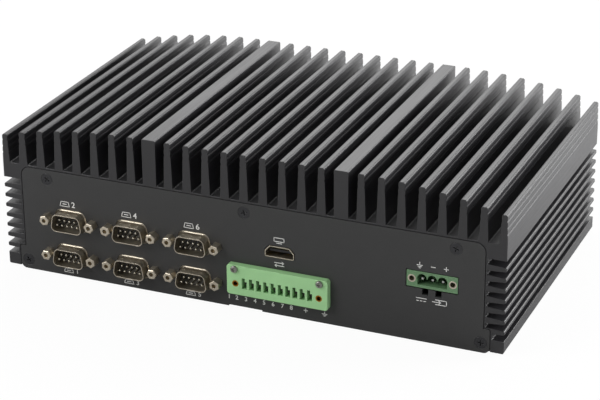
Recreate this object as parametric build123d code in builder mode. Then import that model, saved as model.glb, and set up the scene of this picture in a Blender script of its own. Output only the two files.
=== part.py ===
"""Fanless industrial PC: finned aluminium case with its panels, ports and electronics.

Units are millimetres. +X is the case's right side seen from the front, +Y points to the rear and
+Z up. The origin is under the middle of the case, on the surface it rests on.
"""
from build123d import *
from math import tan, radians
import os

os.makedirs("parts", exist_ok=True)

# Case
case_width = 264.0
case_length = 153.0
case_height = 81.2
cover_thickness = 2.0
block_bottom_z = 1.2
block_height = 6.4
block_edge_radius = 0.8
wall_inner_x = 118.4
groove_root_x = 122.7
low_groove_root_x = 126.0
shoulder_z = 49.2
plate_thickness = 6.0
valley_z = 57.4

# Top fins
fin_count = 27
fin_pitch = 10.035
fin_tip = 3.1
fin_foot = 4.6
fin_edge_chamfer = 0.6
fin_foot_chamfer = 0.4
bar_width = 7.2
bar_step = 5
bar_edge_chamfer = 0.3
crown_flat = 60.0
crown_radius = 277.0
outer_fin_draft = 0.4
fin_grooves = 2
outer_fin_grooves = 3
groove_pitch = 3.4
groove_width = 1.4
groove_depth = 0.25
groove_top_margin = 3.0

# Side ribs
rib_count = 7
rib_pitch = 5.45
rib_low_z = 12.0
rib_tip = 2.0
rib_root = 3.2
rib_edge_chamfer = 0.35

# Screw ridges under the ceiling
ridge_width = 7.4
ridge_height = 4.6
ridge_radius = 1.5

# Panels
panel_thickness = 2.0
panel_gap = 0.35
panel_half_width = 121.7
panel_top_z = 56.25
panel_corner = 4.5
tab_half_width = 125.0
tab_top_z = 12.7
tab_corner = 1.0
panel_low_corner = 3.0
panel_notch_half = 9.0
panel_notch_depth = 0.7
top_screw_x = 107.5
top_screw_z = 51.3
low_screw_x = 120.6
low_screw_z = 5.0

# M3 countersunk screws
m3_radius = 1.4
m3_clear_radius = 1.7
m3_head_radius = 3.0
m3_sink_radius = 3.25
m3_head_rim = 0.1
m3_tip = 0.4
sink_overrun = 0.1
screw_sink = 0.1
screw_turn = 37.0
panel_screw_length = 8.0
cover_screw_length = 5.5
tap_extra = 1.5
thread_clearance = 0.02
stud_length = 4.5
cross_length = 3.2
cross_width = 0.6
cross_depth = 0.9

# Serial ports
port_columns = (-95.3, -61.2, -27.1)
port_low_z = 11.6
port_pitch_z = 19.05
shell_width = 17.7
shell_height = 9.3
shell_corner = 2.6
shell_slant = 10.0
shell_wall = 0.4
shell_reach = 5.2
shell_flare = 1.0
flange_width = 30.8
flange_height = 12.5
flange_thickness = 0.5
flange_corner = 1.2
relief_skin = 0.8
relief_margin = 0.4
port_cut_margin = 1.2
jack_spacing = 24.99
jack_hex_flats = 4.75
jack_hex_length = 5.0
jack_shank_radius = 1.42
jack_shank_length = 6.5
jack_bore_radius = 1.1
jack_bore_depth = 4.0
jack_hole_radius = 1.6
dimple_radius = 0.9
dimple_depth = 0.2
dimple_pitch = 4.6
pin_radius = 0.5
pin_pitch = 2.77
pin_row_gap = 2.84
upper_pins = 4
lower_pins = 5
pin_recess = 1.2
insulator_recess = 5.6
insulator_depth = 2.0
body_depth = 11.0
leg_width = 0.7
leg_gap = 1.5
first_leg = 3
fit_gap = 0.05
pin_tip_radius = 0.35
jack_chamfer = 0.35
jack_turn = 23.0

# Video socket
video_x = 18.5
video_z = 33.55
video_width = 15.2
video_height = 5.9
video_narrow = 10.4
video_slope_z = 2.6
video_wall = 0.4
video_corner = 0.8
video_reach = 0.3
video_depth = 11.5
video_gap = 0.35
video_ear_x = 4.2
video_ear_depths = (3.5, 8.5)
video_ear_length = 1.6
video_root_depth = 3.0
tongue_width = 11.2
tongue_thickness = 1.3
tongue_recess = 1.6
tongue_lift = 0.35
blade_count = 9
blade_pitch = 1.1
blade_width = 0.45
blade_thickness = 0.12
blade_setback = 0.5

# Signal header
io_x = 18.3
io_bottom_z = 8.5
io_width = 53.0
io_height = 15.8
io_reach = 3.5
io_depth = 9.5
io_corner = 1.5
io_poles = 10
io_pitch = 3.81
io_slot_width = 2.6
io_slot_height = 3.9
io_key_width = 1.6
io_key_height = 1.8
io_slot_low = 3.8
io_slot_depth = 8.0
io_insert_spacing = 43.8
io_insert_radius = 1.7
io_insert_bore = 1.1
io_insert_length = 5.0
io_screw_spacing = 44.6
io_screw_drop = 2.0
io_screw_head_radius = 1.8
io_screw_head_height = 1.2
io_screw_radius = 1.0
io_pin_width = 0.9
io_pin_recess = 1.5
io_pin_rise = 2.3
io_edge = 0.4
io_screw_dome = 0.6
io_screw_end = 1.0
io_cross_length = 2.0
io_cross_width = 0.5
io_cross_depth = 0.7
io_gap = 0.3
io_step = 2.0
io_well_height = 9.5
io_screw_hole_radius = 1.05

# DC header
dc_x = 96.0
dc_z = 32.35
dc_width = 25.4
dc_height = 8.4
dc_depth = 12.0
dc_recess = 0.2
dc_poles = 3
dc_pitch = 5.08
dc_insert_spacing = 20.32
dc_insert_radius = 2.0
dc_insert_bore = 1.3
dc_insert_length = 5.0
dc_cavity_depth = 9.0
dc_cavity_width = 14.8
dc_cavity_low = 1.4
dc_lobe_radius = 2.45
dc_lobe_z = 0.5
dc_pin_width = 1.0
dc_pin_z = 0.3
dc_pin_recess = 0.9
dc_gap = 0.4
dc_foot_half = 1.5
latch_notch_width = 3.1
latch_notch_height = 3.0
latch_notch_xs = (-3.3, 3.3)

# Bottom cover and bracket holes
cover_half_width = 124.6
cover_gap = 0.3
cover_corner = 1.5
cover_screw_x = 121.5
cover_screw_inset = 25.0
bracket_hole_x = 128.4
bracket_hole_spacing = 100.0
bracket_hole_radius = 1.65
bracket_hole_depth = 5.5

# Electronics
board_underside_z = 37.2
board_thickness = 1.6
board_half_width = 112.0
board_front_gap = 1.0
board_length = 128.0
standoff_flats = 5.5
board_hole_radius = 1.7
standoff_xs = (-98.0, -36.0, 36.0, 98.0)
standoff_depths = (30.0, 118.0)
standoff_bore = 5.0
board_corner = 2.0
stud_end_gap = 0.5
processor_x = 4.0
processor_depth = 84.0
block_screw_x = 24.0
block_screw_y = 19.0
block_width = 60.0
block_length = 50.0
block_corner = 2.0
block_pocket_gap = 1.0
cap_head_radius = 2.75
cap_head_height = 3.0
cap_socket_flats = 2.5
cap_socket_depth = 1.5
pan_head_radius = 2.8
pan_head_height = 2.0
package_size = 27.0
package_thickness = 1.0
die_width = 12.0
die_length = 9.0
die_thickness = 0.8
pad_thickness = 0.5
pad_margin = 2.0

# Memory and storage
memory_x = 62.0
memory_depth = 62.0
memory_width = 67.6
memory_length = 30.0
memory_thickness = 1.2
memory_drop = 3.6
memory_chip_count = 4
memory_chip_pitch = 16.0
memory_chip_width = 9.0
memory_chip_length = 11.0
memory_chip_height = 0.9
memory_chip_shift = 3.0
socket_wall = 1.6
socket_grip = 4.0
storage_x = -62.0
storage_depth = 40.0
storage_width = 22.0
storage_length = 80.0
storage_thickness = 0.8
storage_drop = 2.4
storage_chip_count = 3
storage_chip_start = 16.0
storage_chip_pitch = 20.0
storage_chip_width = 12.0
storage_chip_length = 16.0
storage_notch_radius = 1.75
storage_post_radius = 2.75
storage_screw_radius = 0.9
storage_screw_head = 1.0

# Signal board and its link
io_board_top_z = 29.5
io_link_start = 10.0
io_link_width = 15.0
io_link_depth = 5.0
io_link_overlap = 6.0

# Coin cell and soldered parts
cell_x = -10.0
cell_depth = 42.0
cell_radius = 10.0
cell_thickness = 3.2
cell_seat = 1.6
cell_chamfer = 0.3
inductor_xs = (66.0, 80.0)
inductor_depths = (48.0, 62.0)
inductor_size = 10.0
inductor_height = 4.5
inductor_corner = 1.0
capacitor_xs = (62.0, 73.0, 84.0)
capacitor_depth = 22.0
capacitor_radius = 4.0
capacitor_height = 7.7
capacitor_edge = 0.6
transceiver_shift = 7.0
transceiver_depth = 42.0
transceiver_width = 7.5
transceiver_length = 10.3
transceiver_height = 2.3
controller_xs = (-76.0, -56.0)
controller_depth = 96.0
controller_size = 10.0
controller_height = 0.9

# Tolerance for picking corners and edges
near = 0.01

# Derived places
half_width = case_width / 2
front_y = (shell_reach - case_length) / 2
rear_y = front_y + case_length
ceiling_z = valley_z - plate_thickness
last_fin = (fin_count - 1) // 2
board_top_z = board_underside_z + board_thickness
m3_head_height = m3_head_rim + m3_head_radius - m3_radius
m3_sink_depth = m3_sink_radius - m3_clear_radius
block_top_z = block_bottom_z + block_height
m3_tap_radius = m3_radius + thread_clearance
middle_y = (front_y + rear_y) / 2
cover_seat_half = cover_half_width + cover_gap
panel_screw_places = (
    (-top_screw_x, top_screw_z), (0, top_screw_z), (top_screw_x, top_screw_z),
    (-low_screw_x, low_screw_z), (low_screw_x, low_screw_z),
)
cover_screw_places = [
    (x, y) for x in (-cover_screw_x, cover_screw_x)
    for y in (front_y + cover_screw_inset, middle_y, rear_y - cover_screw_inset)
]
bracket_hole_places = [
    (x, middle_y + y) for x in (-bracket_hole_x, bracket_hole_x)
    for y in (-bracket_hole_spacing / 2, bracket_hole_spacing / 2)
]
standoff_places = [(x, front_y + depth) for x in standoff_xs for depth in standoff_depths]
processor_y = front_y + processor_depth
block_screw_places = [
    (processor_x + x, processor_y + y)
    for x in (-block_screw_x, block_screw_x) for y in (-block_screw_y, block_screw_y)
]
port_zs = (port_low_z, port_low_z + port_pitch_z)
inner_front_y = front_y + panel_thickness
inner_rear_y = rear_y - panel_thickness
flange_y = front_y + relief_skin
body_y = flange_y + flange_thickness
io_screw_z = io_bottom_z + io_height - io_screw_drop


def slab(x, y, z, mode=Mode.ADD):
    """A box between two limits on each axis."""
    with Locations(((x[0] + x[1]) / 2, (y[0] + y[1]) / 2, (z[0] + z[1]) / 2)):
        Box(x[1] - x[0], y[1] - y[0], z[1] - z[0], mode=mode)


def rod(x, z, y, radius, mode=Mode.ADD):
    """A cylinder along Y between two depths."""
    with Locations(Location((x, (y[0] + y[1]) / 2, z), (90, 0, 0))):
        Cylinder(radius, y[1] - y[0], mode=mode)


def post(x, y, z, radius, mode=Mode.ADD):
    """An upright cylinder between two heights."""
    with Locations((x, y, (z[0] + z[1]) / 2)):
        Cylinder(radius, z[1] - z[0], mode=mode)


def facing(y):
    """The plane across the case at a depth, seen from the front."""
    return Plane.XZ.offset(-y)


def save(piece, name):
    """Label a finished piece and write its file."""
    piece.part.label = name
    export_step(piece.part, f"parts/{name}.step")


def crown_z(x):
    """Height of the fin tops at a distance from the middle: flat, then falling along an arc."""
    over = max(0.0, abs(x) - crown_flat)
    return case_height - over**2 / (2 * crown_radius)


def pane(x, z, mode=Mode.ADD):
    """A rectangle of a sketch between two limits on each axis."""
    with Locations(((x[0] + x[1]) / 2, (z[0] + z[1]) / 2)):
        Rectangle(x[1] - x[0], z[1] - z[0], mode=mode)


def polygon(*points):
    """A closed straight-sided face."""
    with BuildSketch() as shape:
        with BuildLine():
            Polyline(*points, close=True)
        make_face()
    return shape.sketch


def fin_profile(index):
    """One top fin: tapered, its tip chamfered and its flanks grooved; a bar every bar_step fins."""
    x = index * fin_pitch
    top = crown_z(x)
    is_bar = abs(index) == bar_step
    tip, foot = (bar_width, bar_width) if is_bar else (fin_tip, fin_foot)
    feet = [x - foot / 2, x + foot / 2]
    tips = [x - tip / 2, x + tip / 2]
    if index == last_fin:
        feet[1], tips[1] = half_width, half_width - outer_fin_draft
    if index == -last_fin:
        feet[0], tips[0] = -half_width, outer_fin_draft - half_width
    groove_count = {last_fin: outer_fin_grooves, bar_step: 0}.get(abs(index), fin_grooves)
    flanks = []
    for side, inward in ((0, 1), (1, -1)):
        flank = [(feet[side], valley_z - plate_thickness / 2), (feet[side], valley_z)]
        for groove in reversed(range(groove_count)):
            middle_z = top - groove_top_margin - groove * groove_pitch
            for rise, depth in ((-groove_width / 2, 0), (0, groove_depth), (groove_width / 2, 0)):
                share = (middle_z + rise - valley_z) / (top - valley_z)
                wall_x = feet[side] + share * (tips[side] - feet[side])
                flank.append((wall_x + inward * depth, middle_z + rise))
        flank.append((tips[side], top))
        flanks.append(flank)
    with BuildSketch() as fin:
        add(polygon(*flanks[0], *reversed(flanks[1])))
        chamfer(fin.vertices().group_by(Axis.Y)[-1], bar_edge_chamfer if is_bar else fin_edge_chamfer)
    return fin.sketch


def rib_profile(index, side):
    """One side rib, thin at its chamfered tip."""
    z = rib_low_z + index * rib_pitch
    wall = side * (wall_inner_x + groove_root_x) / 2
    root, tip = side * groove_root_x, side * half_width
    with BuildSketch() as rib:
        with BuildLine():
            Polyline(
                (wall, z - rib_root / 2), (root, z - rib_root / 2), (tip, z - rib_tip / 2),
                (tip, z + rib_tip / 2), (root, z + rib_root / 2), (wall, z + rib_root / 2), close=True,
            )
        make_face()
        tips = rib.vertices().filter_by(lambda corner: abs(corner.X - tip) < rib_edge_chamfer)
        chamfer(tips, rib_edge_chamfer)
    return rib.sketch


def panel_outline(grow, bottom_z):
    """The end panel's outline, grown for the pocket that takes it."""
    wide, tab = panel_half_width + grow, tab_half_width + grow
    top, tab_top = panel_top_z + grow, tab_top_z + grow
    with BuildSketch() as outline:
        add(polygon(
            (-tab, bottom_z), (-tab, tab_top), (-wide, tab_top), (-wide, top),
            (wide, top), (wide, tab_top), (tab, tab_top), (tab, bottom_z),
        ))
        fillet(outline.vertices().group_by(Axis.Y)[-1], panel_corner + grow)
        shoulders = outline.vertices().filter_by(
            lambda corner: abs(corner.Y - tab_top) < tab_corner and abs(corner.X) > wide + tab_corner)
        fillet(shoulders, tab_corner + grow)
    return outline.sketch


# Everything milled or drilled out of the housing
with BuildPart() as housing_cuts:
    for end_y, inward in ((front_y, -1), (rear_y, 1)):
        with BuildSketch(facing(end_y)):
            add(panel_outline(panel_gap, -panel_thickness))
        extrude(amount=inward * panel_thickness)
    slab((-cover_seat_half, cover_seat_half), (front_y, rear_y), (0, cover_thickness))
    for inner_y, inward in ((inner_front_y, 1), (inner_rear_y, -1)):
        reach = panel_screw_length - panel_thickness + tap_extra
        span = sorted((inner_y, inner_y + inward * reach))
        for x, z in panel_screw_places:
            rod(x, z, span, m3_tap_radius)
    for x, y in cover_screw_places:
        top = cover_screw_length + tap_extra
        post(x, y, (0, top), m3_tap_radius)
    for x, y in standoff_places:
        post(x, y, (ceiling_z, ceiling_z + stud_length), m3_tap_radius)
    for x, y in block_screw_places:
        post(x, y, (ceiling_z, ceiling_z + stud_length), m3_tap_radius)
    for x, y in bracket_hole_places:
        post(x, y, (0, block_bottom_z + bracket_hole_depth), bracket_hole_radius)
    pocket_half = block_width / 2 + block_pocket_gap, block_length / 2 + block_pocket_gap
    slab((processor_x - pocket_half[0], processor_x + pocket_half[0]),
         (processor_y - pocket_half[1], processor_y + pocket_half[1]),
         (ceiling_z - ridge_height - ridge_radius, ceiling_z))

# Housing: one extrusion, its ends pocketed for the panels
with BuildPart() as housing:
    with BuildSketch(facing(rear_y)) as section:
        pane((-half_width, half_width), (ceiling_z, valley_z))
        for side in (-1, 1):
            walls = sorted((side * wall_inner_x, side * groove_root_x))
            pane(walls, (block_bottom_z, ceiling_z))
            ends = sorted((side * wall_inner_x, side * half_width))
            pane(ends, (shoulder_z, valley_z))
            pane(ends, (block_bottom_z, block_top_z))
            low_walls = sorted((side * wall_inner_x, side * low_groove_root_x))
            pane(low_walls, (block_bottom_z, rib_low_z))
            add([rib_profile(index, side) for index in range(rib_count)])
        for x in (-top_screw_x, 0, top_screw_x):
            with Locations((x, ceiling_z - ridge_height / 2)):
                RectangleRounded(ridge_width, ridge_height + 2 * ridge_radius, ridge_radius)
        add([fin_profile(index) for index in range(-last_fin, last_fin + 1)])
        feet = section.vertices().filter_by(
            lambda corner: abs(corner.Y - valley_z) < near and abs(corner.X) < half_width - fin_tip)
        chamfer(feet, fin_foot_chamfer)
        block_edges = section.vertices().filter_by(
            lambda corner: corner.Y < block_bottom_z + near and abs(corner.X) > half_width - near)
        fillet(block_edges, block_edge_radius)
    extrude(amount=case_length)
    add(housing_cuts.part, mode=Mode.SUBTRACT)
save(housing, "heatsink_housing")


def port_outline(grow=0.0):
    """The D shape of a serial port, narrow side up, about its middle."""
    half = shell_width / 2 + grow
    top_half = half - (shell_height + 2 * grow) * tan(radians(shell_slant))
    rise = shell_height / 2 + grow
    with BuildSketch() as outline:
        add(polygon((-half, -rise), (-top_half, rise), (top_half, rise), (half, -rise)))
        fillet(outline.vertices(), shell_corner + grow)
    return outline.sketch


def video_outline(grow=0.0):
    """The video socket's outline, narrow side up, about its middle."""
    half, narrow = video_width / 2 + grow, video_narrow / 2 + grow * video_narrow / video_width
    rise = video_height / 2 + grow
    with BuildSketch() as outline:
        add(polygon(
            (-half, -rise), (-half, rise - video_slope_z), (-narrow, rise),
            (narrow, rise), (half, rise - video_slope_z), (half, -rise),
        ))
        fillet(outline.vertices(), video_corner + grow)
    return outline.sketch


# Openings of both end panels for their screws
with BuildPart() as panel_screw_cuts:
    for x, z in panel_screw_places:
        rod(x, z, (-panel_thickness, panel_thickness), m3_clear_radius)
        with BuildSketch(facing(-sink_overrun).shift_origin((x, -sink_overrun, z))):
            Circle(m3_sink_radius + sink_overrun)
        with BuildSketch(facing(m3_sink_depth).shift_origin((x, m3_sink_depth, z))):
            Circle(m3_sink_radius - m3_sink_depth)
        loft()

# Front panel's port openings and the relief behind the serial ports
with BuildPart() as port_cuts:
    for x in port_columns:
        for z in port_zs:
            with BuildSketch(facing(front_y).shift_origin((x, front_y, z))):
                add(port_outline(port_cut_margin))
            extrude(amount=-panel_thickness)
            for side in (-1, 1):
                rod(x + side * jack_spacing / 2, z, (front_y, front_y + panel_thickness), jack_hole_radius)
        relief_half = flange_width / 2 + relief_margin
        relief_rise = flange_height / 2 + relief_margin
        slab((x - relief_half, x + relief_half), (flange_y, inner_front_y),
             (port_zs[0] - relief_rise, board_underside_z + relief_margin))
    with BuildSketch(facing(front_y).shift_origin((video_x, front_y, video_z))):
        add(video_outline(video_gap))
    extrude(amount=-panel_thickness)
    slab((io_x - io_width / 2 + io_step - io_gap, io_x + io_width / 2 - io_step + io_gap),
         (front_y, inner_front_y), (io_bottom_z + io_step - io_gap, io_bottom_z + io_well_height + io_gap))
    slab((dc_x - dc_width / 2 - dc_gap, dc_x + dc_width / 2 + dc_gap), (front_y, inner_front_y),
         (dc_z - dc_height / 2 - dc_gap, dc_z + dc_height / 2 + dc_gap))
    for notch_x in latch_notch_xs:
        notch = dc_x + notch_x
        low = dc_z - dc_height / 2 - dc_gap
        slab((notch - latch_notch_width / 2, notch + latch_notch_width / 2), (front_y, inner_front_y),
             (low - latch_notch_height, low + latch_notch_height))
    for side in (-1, 1):
        rod(io_x + side * io_screw_spacing / 2, io_screw_z, (front_y, inner_front_y), io_screw_hole_radius)


def end_panel(end_y, inward):
    """A plate with the panel's outline, its low corners rounded and its lower edge relieved."""
    with BuildPart() as plate:
        with BuildSketch(facing(end_y)) as outline:
            add(panel_outline(0, 0))
            fillet(outline.vertices().group_by(Axis.Y)[0], panel_low_corner)
            pane((-panel_notch_half, panel_notch_half), (-panel_notch_depth, panel_notch_depth),
                 Mode.SUBTRACT)
        extrude(amount=-inward * panel_thickness)
        turn = Location((0, end_y, 0), (0, 0, 0 if inward > 0 else 180))
        add(panel_screw_cuts.part.moved(turn), mode=Mode.SUBTRACT)
        if inward > 0:
            add(port_cuts.part, mode=Mode.SUBTRACT)
    return plate


front_panel = end_panel(front_y, 1)
save(front_panel, "front_panel")

rear_panel = end_panel(rear_y, -1)
save(rear_panel, "rear_panel")


def countersunk_screw(length):
    """A cross-head countersunk screw, its head's face at the origin and its tip towards +Y."""
    with BuildPart() as screw:
        with BuildSketch(Plane.XY):
            add(polygon(
                (0, 0), (m3_head_radius, 0), (m3_head_radius, m3_head_rim),
                (m3_radius, m3_head_height), (m3_radius, length - m3_tip),
                (m3_radius - m3_tip, length), (0, length),
            ))
        revolve(axis=Axis.Y)
        for wide, tall in ((cross_length, cross_width), (cross_width, cross_length)):
            slab((-wide / 2, wide / 2), (0, cross_depth), (-tall / 2, tall / 2), Mode.SUBTRACT)
    return screw.part


# Ten screws of the two end panels, each turned as it was left by the driver
with BuildPart() as panel_screws:
    screw = countersunk_screw(panel_screw_length)
    for index, (x, z) in enumerate(panel_screw_places):
        turn = (0, screw_turn * (index + 1), 0)
        add(screw.moved(Location((x, front_y + screw_sink, z), turn)))
        add(screw.moved(Location((x, rear_y - screw_sink, z), (180, turn[1], 0))))
save(panel_screws, "panel_screws")

# Bottom cover: a plate in the rebate of the two bottom blocks
with BuildPart() as bottom_cover:
    slab((-cover_half_width, cover_half_width),
         (inner_front_y + cover_gap, inner_rear_y - cover_gap), (0, cover_thickness))
    fillet(bottom_cover.edges().filter_by(Axis.Z), cover_corner)
    for x, y in cover_screw_places:
        post(x, y, (0, cover_thickness), m3_clear_radius, Mode.SUBTRACT)
        with Locations((x, y, m3_sink_depth / 2)):
            Cone(m3_sink_radius, m3_sink_radius - m3_sink_depth, m3_sink_depth, mode=Mode.SUBTRACT)
save(bottom_cover, "bottom_cover")

with BuildPart() as cover_screws:
    screw = countersunk_screw(cover_screw_length)
    for index, (x, y) in enumerate(cover_screw_places):
        add(screw.moved(Location((x, y, screw_sink), (90, screw_turn * index, 0))))
save(cover_screws, "cover_screws")


# Shell of one serial port about its middle on the panel's face: flange, flared D and dimples
with BuildPart() as shell_form:
    with BuildSketch(facing(relief_skin + flange_thickness)):
        RectangleRounded(flange_width, flange_height, flange_corner)
    extrude(amount=flange_thickness)
    with BuildSketch(facing(relief_skin)):
        add(port_outline())
    extrude(amount=relief_skin + shell_reach)
    flare = shell_form.edges().filter_by(
        lambda edge: abs(edge.center().Y - relief_skin) < near
        and abs(edge.center().X) < shell_width / 2 + near and abs(edge.center().Z) < shell_height / 2 + near)
    fillet(flare, shell_flare)
    with BuildSketch(facing(relief_skin + flange_thickness)):
        add(port_outline(-shell_wall))
    extrude(amount=relief_skin + flange_thickness + shell_reach, mode=Mode.SUBTRACT)
    for side in (-1, 1):
        rod(side * jack_spacing / 2, 0, (relief_skin, relief_skin + flange_thickness),
            jack_hole_radius, Mode.SUBTRACT)
    dent_z = shell_height / 2 + dimple_radius - dimple_depth
    for dent_x in (-dimple_pitch, 0, dimple_pitch):
        with Locations((dent_x, -shell_reach / 2, -dent_z), (dent_x, -shell_reach / 2, dent_z)):
            Sphere(dimple_radius, mode=Mode.SUBTRACT)


def port_pins():
    """Places of a port's nine pins about its middle: four above, five below."""
    rows = []
    for count, rise in ((upper_pins, pin_row_gap / 2), (lower_pins, -pin_row_gap / 2)):
        rows.append([((step - (count - 1) / 2) * pin_pitch, rise) for step in range(count)])
    return rows


# Insulator of one serial port, bored for its pins
with BuildPart() as insulator_form:
    with BuildSketch(facing(insulator_recess - shell_reach)) as face:
        add(port_outline(-shell_wall - fit_gap))
        for row in port_pins():
            with Locations(*row):
                Circle(pin_radius + thread_clearance, mode=Mode.SUBTRACT)
    extrude(amount=-(body_y - front_y + insulator_depth - insulator_recess + shell_reach))

for column, x in enumerate(port_columns):
    # Body of two stacked ports, hanging from the mainboard
    with BuildPart() as serial_body:
        slab((x - flange_width / 2, x + flange_width / 2), (body_y, body_y + body_depth),
             (port_zs[0] - flange_height / 2, board_underside_z))
        for z in port_zs:
            with BuildSketch(facing(body_y).shift_origin((x, body_y, z))):
                add(port_outline(-shell_wall))
            extrude(amount=-insulator_depth, mode=Mode.SUBTRACT)
            with BuildSketch(facing(body_y).shift_origin((x, body_y, z))):
                for row in port_pins():
                    with Locations(*row):
                        Circle(pin_radius + thread_clearance)
                with Locations((-jack_spacing / 2, 0), (jack_spacing / 2, 0)):
                    Circle(jack_shank_radius + thread_clearance)
            extrude(amount=-body_depth, mode=Mode.SUBTRACT)
    save(serial_body, f"serial_body_{column + 1}")
    for level, z in enumerate(port_zs):
        number = 2 * column + level + 1
        with BuildPart() as serial_shell:
            add(shell_form.part.moved(Location((x, front_y, z))))
        save(serial_shell, f"serial_shell_{number}")
        with BuildPart() as serial_insulator:
            add(insulator_form.part.moved(Location((x, front_y, z))))
        save(serial_insulator, f"serial_insulator_{number}")
        with BuildPart() as serial_contacts:
            for row, places in enumerate(port_pins()):
                leg_y = body_y + body_depth + leg_gap * (first_leg - 2 * level + row)
                for pin_x, pin_z in places:
                    rod(x + pin_x, z + pin_z, (front_y - shell_reach + pin_recess, leg_y), pin_radius)
                    slab((x + pin_x - leg_width / 2, x + pin_x + leg_width / 2),
                         (leg_y - leg_width, leg_y), (z + pin_z, board_underside_z))
            fillet(serial_contacts.edges().group_by(Axis.Y)[0], pin_tip_radius)
        save(serial_contacts, f"serial_contacts_{number}")

# Jackscrews: hexagon with a threaded bore, its shank through the panel into the port's body
with BuildPart() as jack_form:
    with BuildSketch(facing(0)):
        RegularPolygon(jack_hex_flats / 2, 6, major_radius=False)
    extrude(amount=jack_hex_length)
    chamfer(jack_form.edges().group_by(Axis.Y)[0], jack_chamfer)
    rod(0, 0, (-jack_hex_length, jack_bore_depth - jack_hex_length), jack_bore_radius, Mode.SUBTRACT)
    rod(0, 0, (0, jack_shank_length), jack_shank_radius)

with BuildPart() as serial_jackscrews:
    jack_places = [
        (x + side * jack_spacing / 2, z)
        for x in port_columns for z in port_zs for side in (-1, 1)
    ]
    add([
        jack_form.part.moved(Location((x, front_y, z), (0, jack_turn * index, 0)))
        for index, (x, z) in enumerate(jack_places)
    ])
save(serial_jackscrews, "serial_jackscrews")

# Video socket, hanging from the mainboard by its ears
with BuildPart() as video_shell:
    back_y = front_y + video_depth
    with BuildSketch(facing(back_y).shift_origin((video_x, back_y, video_z))):
        add(video_outline())
    extrude(amount=video_depth + video_reach)
    hollow_y = back_y - video_wall
    with BuildSketch(facing(hollow_y).shift_origin((video_x, hollow_y, video_z))):
        add(video_outline(-video_wall))
    extrude(amount=video_depth + video_reach, mode=Mode.SUBTRACT)
    for side in (-1, 1):
        ear_x = video_x + side * video_ear_x
        for ear_y in video_ear_depths:
            slab((ear_x - video_wall, ear_x + video_wall),
                 (front_y + ear_y, front_y + ear_y + video_ear_length),
                 (video_z + video_height / 2 - video_wall / 2, board_underside_z))
save(video_shell, "video_shell")

with BuildPart() as video_insulator:
    root_y = hollow_y - video_root_depth
    with BuildSketch(facing(hollow_y).shift_origin((video_x, hollow_y, video_z))):
        add(video_outline(-video_wall - fit_gap))
    extrude(amount=video_root_depth)
    tongue_z = video_z + tongue_lift
    tongue_y = front_y - video_reach + tongue_recess
    slab((video_x - tongue_width / 2, video_x + tongue_width / 2), (tongue_y, root_y),
         (tongue_z - tongue_thickness / 2, tongue_z + tongue_thickness / 2))
save(video_insulator, "video_insulator")

with BuildPart() as video_contacts:
    blade_rise = (tongue_thickness + blade_thickness) / 2
    for step in range(blade_count):
        blade_x = video_x + (step - (blade_count - 1) / 2) * blade_pitch
        blade_y = (tongue_y + blade_setback + root_y) / 2
        with Locations((blade_x, blade_y, tongue_z - blade_rise), (blade_x, blade_y, tongue_z + blade_rise)):
            Box(blade_width, root_y - tongue_y - blade_setback, blade_thickness)
save(video_contacts, "video_contacts")

# Signal header: a plate on the panel's face with its well reaching through
io_pole_xs = [io_x + (step - (io_poles - 1) / 2) * io_pitch for step in range(io_poles)]
io_slot_z = io_bottom_z + io_slot_low
io_pin_z = io_slot_z + io_pin_rise
io_board_y = front_y + io_depth
with BuildPart() as io_header:
    with BuildSketch(facing(front_y).shift_origin((io_x, front_y, io_bottom_z + io_height / 2))):
        RectangleRounded(io_width, io_height, io_corner)
    extrude(amount=io_reach)
    fillet(io_header.edges().group_by(Axis.Y)[0], io_edge)
    slab((io_x - io_width / 2 + io_step, io_x + io_width / 2 - io_step), (front_y, io_board_y),
         (io_bottom_z + io_step, io_bottom_z + io_well_height))
    slot_y = front_y - io_reach
    for x in io_pole_xs:
        slab((x - io_slot_width / 2, x + io_slot_width / 2), (slot_y, slot_y + io_slot_depth),
             (io_slot_z, io_slot_z + io_slot_height), Mode.SUBTRACT)
        slab((x - io_slot_width / 2, x - io_slot_width / 2 + io_key_width), (slot_y, slot_y + io_slot_depth),
             (io_slot_z + io_slot_height, io_slot_z + io_slot_height + io_key_height), Mode.SUBTRACT)
        slab((x - io_pin_width / 2, x + io_pin_width / 2), (slot_y, io_board_y),
             (io_pin_z - io_pin_width / 2, io_pin_z + io_pin_width / 2), Mode.SUBTRACT)
    for side in (-1, 1):
        rod(io_x + side * io_insert_spacing / 2, io_pin_z, (slot_y, slot_y + io_insert_length),
            io_insert_radius, Mode.SUBTRACT)
        rod(io_x + side * io_screw_spacing / 2, io_screw_z, (slot_y, front_y),
            io_screw_hole_radius, Mode.SUBTRACT)
save(io_header, "io_header")

with BuildPart() as io_pins:
    pin_y = slot_y + io_pin_recess
    with Locations(*[(x, (pin_y + io_board_y) / 2, io_pin_z) for x in io_pole_xs]):
        Box(io_pin_width, io_board_y - pin_y, io_pin_width)
save(io_pins, "io_pins")

with BuildPart() as io_inserts:
    for side in (-1, 1):
        insert_x = io_x + side * io_insert_spacing / 2
        rod(insert_x, io_pin_z, (slot_y, slot_y + io_insert_length), io_insert_radius)
        rod(insert_x, io_pin_z, (slot_y, slot_y + io_insert_length), io_insert_bore, Mode.SUBTRACT)
save(io_inserts, "io_inserts")

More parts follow.
